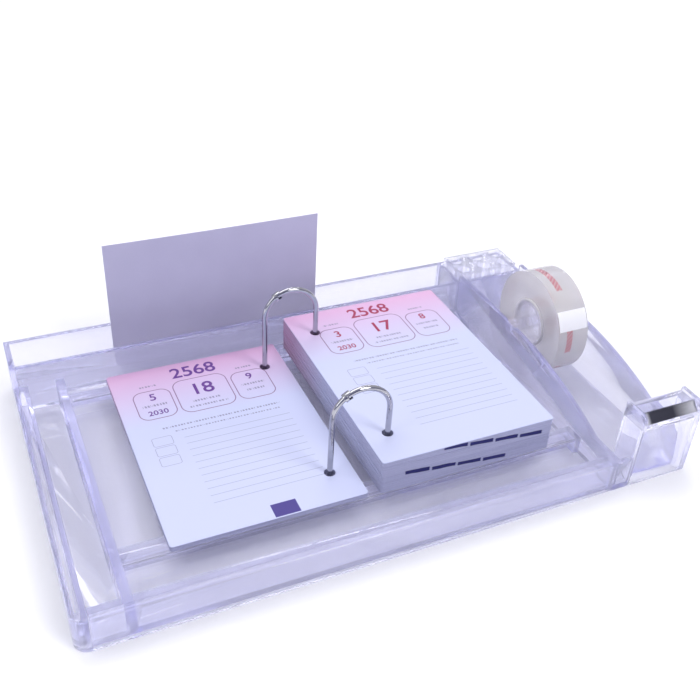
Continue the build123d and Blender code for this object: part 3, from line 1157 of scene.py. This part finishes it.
@dataclass
class WireArches:
    """Two chromed arches, each of a fixed wire, a turning wire and a clip between them."""

    nodes: dict[str, bpy.types.Object]
    chrome: Colour = (0.50, 0.50, 0.54)
    sides: int = 32
    steps: int = 44
    least_steps: int = 6
    half_gap: float = 0.08 * MM
    end_edge: float = 0.35 * MM
    fitting_edge: float = 0.12 * MM
    finish: bpy.types.Material = field(init=False)

    def __post_init__(self) -> None:
        """Makes the finish that both arches share."""
        self.finish = BrightMetal("chromed_wire", self.chrome, roughness=0.03, grain=0.04).build()

    def bent_wire(self, name: str, leg: Vector, centre: Vector, degrees: float) -> bpy.types.Object:
        """Wire with a straight leg and a bend at its top.

        Args:
            name: Name of the piece.
            leg: Foot of the leg.
            centre: Centre of the bend, level with the leg's top.
            degrees: Turn of the bend about +Y, towards the centre.

        Returns:
            The wire, with rounded ends.
        """
        circle = bpy.ops.mesh.primitive_circle_add
        piece = start(name, circle, vertices=self.sides, radius=WIRE / 2, fill_type="NGON", location=leg)
        settle(piece)
        edit_all(piece)
        bpy.ops.mesh.extrude_region_move(TRANSFORM_OT_translate={"value": (0, 0, centre.z - leg.z)})
        steps = max(self.least_steps, int(self.steps * abs(degrees) / 180))
        bpy.ops.mesh.spin(
            steps=steps, angle=-math.radians(degrees), center=centre, axis=(0, 1, 0), use_auto_merge=True
        )
        close_shell(2 * MERGE)
        ease_edges(piece, self.end_edge, segments=3, degrees=60.0, clamp=True)
        smooth(piece)
        return piece

    def build(self) -> None:
        """Builds and dresses both arches."""
        half = WIRE / 2
        for place, body in (("front", Body.FRONT_ARCH), ("rear", Body.REAR_ARCH)):
            post_low, post_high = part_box(place + "_arch_post")
            swing_low, swing_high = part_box(place + "_arch_swing")
            post_foot = Vector((post_low.x + half, (post_low.y + post_high.y) / 2, post_low.z))
            swing_foot = Vector((swing_high.x - half, post_foot.y, swing_low.z))
            radius = (swing_foot.x - post_foot.x) / 2
            middle = (swing_foot.x + post_foot.x) / 2
            centre = Vector((middle, post_foot.y, swing_high.z - half - radius))
            meet = math.degrees(math.asin((post_high.z - centre.z) / (radius + half)))
            gap = math.degrees(self.half_gap / radius)
            post = self.bent_wire(place + "_fixed_wire", post_foot, centre, meet - gap)
            dress(post, self.finish, "chrome_wire", Body.BASE, place + "_arch_post")
            swing = self.bent_wire(place + "_turning_wire", swing_foot, centre, meet - 180 + gap)
            dress(swing, self.finish, "chrome_wire", body, place + "_arch_swing")
            self.fittings(place, body)

    def fittings(self, place: str, body: Body) -> None:
        """Dresses the clip and the nuts of one arch.

        Args:
            place: Front or rear.
            body: Body of the turning wire.
        """
        for node, rides in (("_arch_clip", Body.BASE), ("_post_nut", Body.BASE), ("_swing_nut", body)):
            piece = clean_copy(self.nodes[place + node], place + node + "_fitting")
            ease_edges(piece, self.fitting_edge)
            smooth(piece, degrees=45)
            dress(piece, self.finish, "chrome_fitting", rides, place + node)


@dataclass
class DayPages:
    """The two stacks of pages, their top pages and the leaf that turns next.

    The rows of number_places are the middle and the height of each printed number, in millimetres.
    """

    sheet: float = 0.12 * MM
    corner: float = 1.6 * MM
    hole: float = 3.0 * MM
    bundle: float = 0.62 * MM
    bundle_fill: float = 0.97
    slip: tuple[float, float] = (0.22 * MM, 0.16 * MM)
    bend: float = 7.0 * MM
    leaf_cuts: int = 48
    leaf_lift: float = 0.08 * MM
    leaf_extra: float = 0.08 * MM
    print_shift: float = 4.2
    marks_inset: float = 41.0
    marks_drop: float = 0.4
    blank: tuple[float, float] = (0.95, 0.03)  # unprinted spot that the back of a page shows
    left_numbers: tuple[str, ...] = ("2568", "18", "5", "2030", "9")
    leaf_numbers: tuple[str, ...] = ("2568", "17", "3", "2030", "8")
    number_places: tuple[Row, ...] = (
        (47.5, 128.2, 9.5),
        (47.8, 110.2, 10.0),
        (20.0, 111.2, 6.0),
        (19.8, 97.4, 4.0),
        (76.0, 112.0, 5.5),
    )
    glyph_share: float = 0.72
    glyph_weight: float = 0.018
    glyph_thick: float = 0.01 * MM
    glyph_lift: float = 0.03 * MM
    left_ink: Colour = (0.13, 0.035, 0.27)
    right_ink: Colour = (0.34, 0.012, 0.08)

    def holes(self, side: Side) -> list[tuple[float, float]]:
        """Places of the holes of one stack.

        Args:
            side: Side of the page that the holes are on.

        Returns:
            The two places, in metres.
        """
        places = []
        wire = "_arch_post" if side is Side.RIGHT else "_arch_swing"
        for place in ("front", "rear"):
            low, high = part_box(place + wire)
            x = low.x + WIRE / 2 if side is Side.RIGHT else high.x - WIRE / 2
            places.append((x, (low.y + high.y) / 2))
        return places

    def stack(self, node: str, side: Side, seed: int) -> bpy.types.Object:
        """Stack of bundles that lie a little unevenly.

        Args:
            node: CAD node of the stack.
            side: Side of the page that the holes are on.
            seed: Seed of the unevenness.

        Returns:
            The stack.
        """
        low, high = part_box(node)
        chance = random.Random(seed)
        count = max(2, round((high.z - low.z) / self.bundle))
        thick = (high.z - low.z - self.sheet - HAIR) / count
        top = low.z + thick * self.bundle_fill
        first = plate(node + "_bundle", low, Vector((high.x, high.y, top)), self.corner)
        punch(first, self.holes(side), self.hole)
        pieces = []
        for index in range(count):
            piece = copy_piece(first, f"{node}_bundle_{index}")
            aside, along = (chance.uniform(-slip, slip) for slip in self.slip)
            shift = Vector((aside, along, index * thick + HAIR))
            piece.data.transform(Matrix.Translation(shift))
            pieces.append(piece)
        bpy.data.objects.remove(first)
        return join(pieces, node + "_pages")

    def page(self, name: str, low: Vector, high: Vector, side: Side, cuts: int = 0) -> bpy.types.Object:
        """One page with its UV map.

        Args:
            name: Name of the piece.
            low: Lowest corner.
            high: Highest corner.
            side: Side of the page that the holes are on.
            cuts: Cuts across the page, so that it can bend.

        Returns:
            The page.
        """
        piece = plate(name, low, high, self.corner)
        punch(piece, self.holes(side), self.hole)
        for index in range(cuts):
            x = low.x + (high.x - low.x) * (index + 1) / (cuts + 1)
            cut_across(piece, (x, 0, 0), (1, 0, 0))
        layer = piece.data.uv_layers.new(name=PAGE_MAP)
        for face in piece.data.polygons:
            printed = face.normal.z > 0.5
            for corner in face.loop_indices:
                point = piece.data.vertices[piece.data.loops[corner].vertex_index].co
                u = (point.x - low.x) / (high.x - low.x)
                v = (point.y - low.y) / (high.y - low.y)
                layer.data[corner].uv = (u, v) if printed else self.blank
        return piece

    def figures(self, name: str, corner: Vector, shift: float, numbers: Sequence[str]) -> bpy.types.Object:
        """Printed numbers of one page.

        Args:
            name: Name of the piece.
            corner: Front left corner of the page, at its top.
            shift: Sideways shift of the print, in millimetres.
            numbers: Numbers, in the order of their places.

        Returns:
            All the numbers as one piece.
        """
        pieces = []
        for text, (x, y, size) in zip(numbers, self.number_places):
            piece = start(name, bpy.ops.object.text_add)
            piece.data.body = text
            piece.data.align_x = "CENTER"
            piece.data.align_y = "CENTER"
            piece.data.size = size * MM / self.glyph_share
            piece.data.extrude = self.glyph_thick
            piece.data.offset = self.glyph_weight * size * MM
            piece.data.resolution_u = 6
            piece.location = corner + Vector(((x + shift) * MM, y * MM, self.glyph_lift))
            bpy.ops.object.convert(target="MESH")
            piece = bpy.context.object
            settle(piece)
            pieces.append(piece)
        joined = join(pieces, name)
        edit_all(joined)
        bpy.ops.mesh.remove_doubles(threshold=2 * MERGE)
        close_edit()
        return joined

    def build(self) -> None:
        """Builds and dresses the stacks, the pages and the turning leaf."""
        left_low, left_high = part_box("left_pad")
        right_low, right_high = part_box("right_pad_upper")
        strip_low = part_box("leaf_strip")[0]
        panel_low, panel_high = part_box("leaf_panel")
        front = left_low.y / MM
        top = panel_high.z / MM
        marks_left = right_low.x / MM + self.marks_inset
        left_edge = PaperStack("left_page_edges", front, 0.0, top, 0).build()
        right_edge = PaperStack("right_page_edges", front, marks_left, top - self.marks_drop, 2).build()
        for node, side, seed, edge in (
            ("left_pad", Side.RIGHT, 3, left_edge),
            ("right_pad_lower", Side.LEFT, 5, right_edge),
            ("right_pad_upper", Side.LEFT, 8, right_edge),
        ):
            dress(self.stack(node, side, seed), edge, "paper", Body.BASE, node)
        width = (right_high.x - right_low.x) / MM
        depth = (right_high.y - right_low.y) / MM
        left_print = PrintedPage("left_day_print", width, depth, 0.0, True).build()
        right_print = PrintedPage("right_day_print", width, depth, self.print_shift, False).build()
        for name, low, high, side, finish in (
            ("left_top_page", left_low, left_high, Side.RIGHT, left_print),
            ("right_next_page", right_low, right_high, Side.LEFT, right_print),
        ):
            page_low = Vector((low.x, low.y, high.z - self.sheet))
            dress(self.page(name, page_low, high, side), finish, "paper", Body.BASE)
        leaf_low = strip_low + Vector((0, 0, self.leaf_lift))
        leaf_high = Vector((panel_high.x, panel_high.y, leaf_low.z + self.sheet + self.leaf_extra))
        leaf = self.page("turning_leaf", leaf_low, leaf_high, Side.LEFT, self.leaf_cuts)
        dress(leaf, right_print, "paper", None, "leaf_strip", "leaf_panel")
        self.turn(leaf, panel_low.x)
        self.numbers(Vector((left_low.x, left_low.y, left_high.z)), Vector((*leaf_low.xy, leaf_high.z)))

    def numbers(self, left_corner: Vector, leaf_corner: Vector) -> None:
        """Builds and dresses the printed numbers of both top pages.

        Args:
            left_corner: Front left corner of the left page, at its top.
            leaf_corner: Front left corner of the turning leaf, at its top.
        """
        purple = FlatInk("left_figure_ink", self.left_ink).build()
        red = FlatInk("right_figure_ink", self.right_ink).build()
        left = self.figures("left_figures", left_corner, 0.0, self.left_numbers)
        dress(left, purple, "paper", Body.BASE)
        piece = self.figures("leaf_figures", leaf_corner, self.print_shift, self.leaf_numbers)
        dress(piece, red, "paper", None)
        self.turn(piece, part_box("leaf_panel")[0].x)

    def turn(self, piece: bpy.types.Object, crease: float) -> None:
        """Moves a piece's place into its mesh.

        Args:
            piece: Leaf, or print on it.
            crease: Not used.
        """
        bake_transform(piece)


@dataclass
class MemoCard:
    """Card that stands in its slot, a little bowed."""

    colour: Colour = (0.58, 0.56, 0.72)
    cloud: Colour = (0.52, 0.50, 0.66)
    bow: float = 0.5 * MM
    thick: float = 0.35 * MM
    cuts: int = 14

    def build(self) -> None:
        """Builds and dresses the card."""
        low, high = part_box("memo_card")
        middle = (low.y + high.y) / 2
        near = Vector((low.x, middle - self.thick / 2, low.z + HAIR))
        piece = plate("note_card", near, Vector((high.x, middle + self.thick / 2, high.z)))
        for normal in ((1, 0, 0), (0, 0, 1)):
            for index in range(self.cuts):
                share = (index + 1) / (self.cuts + 1)
                cut_across(piece, low + (high - low) * share, normal)
        for point in piece.data.vertices:
            across = (point.co.x - low.x) / (high.x - low.x)
            up = (point.co.z - low.z) / (high.z - low.z)
            point.co.y -= self.bow * math.sin(math.pi * across) * up * up
        smooth(piece, degrees=30)
        finish = PlainCard("note_card_paper", self.colour, self.cloud).build()
        dress(piece, finish, "card", Body.CARD, "memo_card")


@dataclass
class TapeDispenser:
    """Tape roll on its core, and the toothed blade on the post."""

    nodes: dict[str, bpy.types.Object]
    segments: int = 96
    layers: int = 18
    layer_fill: float = 0.999  # keeps the innermost layer clear of the bore
    uneven: float = 0.06 * MM
    seed: int = 11
    core_edge: float = 0.2 * MM
    blade_edge: float = 0.08 * MM
    board: Colour = (0.80, 0.79, 0.80)
    board_cloud: Colour = (0.72, 0.70, 0.70)
    tab_white: Colour = (0.93, 0.93, 0.95)
    tab_cloud: Colour = (0.90, 0.90, 0.93)
    tab_steps: int = 10
    tab_angle: float = 52.0
    tab_length: float = 12.0 * MM
    tab_margin: float = 0.6 * MM
    tab_thick: float = 0.08 * MM
    tab_sink: float = 0.03 * MM

    def ring(self, low: Vector, high: Vector, bore: float) -> bpy.types.Object:
        """Roll with wound layers on its ends.

        Args:
            low: Lowest corner of the roll.
            high: Highest corner of the roll.
            bore: Radius of its hole.

        Returns:
            The roll.
        """
        outer = (high.z - low.z) / 2
        chance = random.Random(self.seed)
        step = (outer - bore) / self.layers
        piece = start(
            "tape_layers", bpy.ops.mesh.primitive_cylinder_add, vertices=self.segments, radius=outer,
            depth=high.x - low.x, location=(low + high) / 2, rotation=(0, math.pi / 2, 0),
            end_fill_type="NGON",
        )
        settle(piece)
        for sign in (-1, 1):
            for _ in range(self.layers):
                pick_faces(piece, lambda face, sign=sign: self.is_end(face) and face.normal.x * sign > 0)
                bpy.ops.mesh.inset(thickness=step * self.layer_fill, use_even_offset=True)
                bpy.ops.transform.translate(value=(-sign * chance.uniform(0.0, self.uneven), 0, 0))
                close_edit()
        pick_faces(piece, self.is_end)
        bpy.ops.mesh.bridge_edge_loops()
        bpy.ops.mesh.select_all(action="SELECT")
        bpy.ops.mesh.normals_make_consistent(inside=False)
        close_edit()
        smooth(piece, degrees=30)
        return piece

    def is_end(self, face: bpy.types.MeshPolygon) -> bool:
        """Whether a face is the round middle of one of the roll's ends."""
        return len(face.vertices) == self.segments

    def build(self) -> None:
        """Builds and dresses the roll, its core, its tab and the blade."""
        low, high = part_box("tape_roll")
        centre = (low + high) / 2
        middle = tuple(part / MM for part in centre)
        core_low, core_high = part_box("tape_core")
        core_radius = (core_high.z - core_low.z) / 2
        film = WoundFilm("wound_tape", middle).build()
        roll = self.ring(low, high, core_radius + HAIR)
        dress(roll, film, "tape", Body.ROLL, "tape_roll")
        board = PlainCard("core_board", self.board, self.board_cloud).build()
        core = clean_copy(self.nodes["tape_core"], "core_tube")
        ease_edges(core, self.core_edge)
        smooth(core)
        dress(core, board, "core_card", Body.ROLL, "tape_core")
        self.tab(centre, (high.z - low.z) / 2, low.x, high.x)
        self.blade()

    def tab(self, centre: Vector, radius: float, left: float, right: float) -> None:
        """White tab at the free end of the tape.

        Args:
            centre: Centre of the roll.
            radius: Radius of the roll.
            left: Left side of the roll.
            right: Right side of the roll.
        """
        angle = math.radians(self.tab_angle)
        half = self.tab_length / radius / 2
        out = Vector((0, -math.cos(angle - half), math.sin(angle - half)))
        place = centre + out * (radius - self.tab_sink)
        piece = start("tape_tab", bpy.ops.mesh.primitive_plane_add, size=1.0, location=place)
        piece.rotation_euler = (math.atan2(out.z, out.y), 0, 0)
        piece.scale = (right - left - 2 * self.tab_margin, self.tab_thick, 1.0)
        settle(piece)
        edit_all(piece)
        bpy.ops.mesh.spin(steps=self.tab_steps, angle=-2 * half, center=centre, axis=(1, 0, 0))
        close_shell(MERGE)
        smooth(piece)
        finish = PlainCard("tab_paper", self.tab_white, self.tab_cloud, roughness=0.4).build()
        dress(piece, finish, "tape", Body.ROLL)

    def blade(self) -> None:
        """Dresses the toothed blade."""
        piece = clean_copy(self.nodes["cutter_blade"], "toothed_blade")
        ease_edges(piece, self.blade_edge, segments=1)
        low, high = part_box("cutter_blade")
        finish = BladeSteel("blade_steel", low.x / MM, high.x / MM).build()
        dress(piece, finish, "steel", Body.BASE, "cutter_blade")


# ------------------------------------------------------------------ studio


@dataclass(frozen=True)
class Softbox:
    """Rectangular light that points at the middle of the calendar."""

    name: str
    place: Triple
    size: tuple[float, float]
    watts: float
    aim_height: float = 0.02

    def build(self) -> None:
        """Adds the light."""
        data = bpy.data.lights.new(self.name, "AREA")
        data.shape = "RECTANGLE"
        data.size, data.size_y = self.size
        data.energy = self.watts
        item = bpy.data.objects.new(self.name, data)
        item.location = self.place
        aim = Vector((0, 0, self.aim_height)) - Vector(self.place)
        item.rotation_euler = aim.to_track_quat("-Z", "Y").to_euler()
        bpy.context.scene.collection.objects.link(item)


@dataclass
class Studio:
    """Pale floor, soft light and the camera."""

    camera_place: Vector = field(default_factory=lambda: Vector((-171.9, -361.8, 330.9)) * MM)
    yaw: float = 26.06
    pitch: float = 34.77
    roll: float = 3.49
    lens: float = 47.2
    sensor: float = 36.0
    floor_colour: Colour = (0.97, 0.97, 0.985)
    floor_size: float = 40.0
    floor_drop: float = 0.4 * MM
    sky: tuple[tuple[float, Colour], ...] = ((0.0, (0.72, 0.72, 0.90)), (0.35, (0.94, 0.945, 1.0)))
    shade: tuple[tuple[float, Colour], ...] = ((0.05, (0.34, 0.34, 0.50)), (0.55, (1.0, 1.0, 1.0)))
    sky_strength: float = 0.7
    lights: tuple[Softbox, ...] = (
        Softbox("top_softbox", (-0.4, 1.2, 3.2), (3.4, 1.5), 40.0),
        Softbox("back_strip", (0.9, 2.6, 1.75), (2.6, 0.12), 9.0),
        Softbox("front_softbox", (1.0, -1.6, 1.77), (0.9, 1.3), 28.0),
        Softbox("left_softbox", (-2.4, -0.5, 1.5), (0.9, 1.8), 11.0),
    )

    def camera(self) -> None:
        """Sets the camera at the viewing angle."""
        data = bpy.data.cameras.new("camera")
        data.lens = self.lens
        data.sensor_width = self.sensor
        item = bpy.data.objects.new("camera", data)
        turn = Matrix.Rotation(math.radians(-self.yaw), 4, "Z")
        turn = turn @ Matrix.Rotation(math.radians(90 - self.pitch), 4, "X")
        turn = turn @ Matrix.Rotation(math.radians(self.roll), 4, "Z")
        item.matrix_world = Matrix.Translation(self.camera_place) @ turn
        bpy.context.scene.collection.objects.link(item)
        bpy.context.scene.camera = item

    def floor(self) -> None:
        """Makes the floor."""
        plane = bpy.ops.mesh.primitive_plane_add
        floor = start("studio_floor", plane, size=self.floor_size, location=(0, 0, -self.floor_drop))
        inputs = {"Base Color": self.floor_colour, "Roughness": 0.7, "Specular IOR Level": 0.2}
        floor.data.materials.append(Graph("studio_floor").surface(inputs))

    def world(self) -> None:
        """Sets the surroundings: white above, paler near the horizon and darker at the front."""
        graph = Graph("surroundings", surroundings=True)
        source = graph.node("ShaderNodeTexCoord").outputs["Generated"]
        parts = graph.node("ShaderNodeSeparateXYZ", None, {0: source})
        facing = Value(graph, parts.outputs["Y"]) * 0.5 + 0.5
        sky = graph.node("ShaderNodeValToRGB", {"stops": self.sky}, {0: parts.outputs["Z"]})
        shade = graph.node("ShaderNodeValToRGB", {"stops": self.shade}, {0: facing})
        settings = {"data_type": "RGBA", "blend_type": "MULTIPLY"}
        both = graph.node("ShaderNodeMix", settings, {0: 1.0, 6: sky.outputs[0], 7: shade.outputs[0]})
        inputs = {"Color": both.outputs[2], "Strength": self.sky_strength}
        back = graph.node("ShaderNodeBackground", None, inputs)
        graph.feed(graph.output.inputs["Surface"], back.outputs[0])
        bpy.context.scene.world = graph.owner

    def build(self) -> None:
        """Builds the studio."""
        bpy.context.scene.view_settings.view_transform = "Standard"
        self.camera()
        self.floor()
        self.world()
        for light in self.lights:
            light.build()


def main() -> None:
    """Builds the calendar's looks around its frame."""
    logging.basicConfig(level=logging.INFO, format="%(name)s %(message)s")
    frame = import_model()
    nodes = frame["nodes"]
    Studio().build()
    ClearMouldings(nodes).build()
    WireArches(nodes).build()
    DayPages().build()
    MemoCard().build()
    TapeDispenser(nodes).build()
    deselect()


if __name__ == "__main__":
    main()
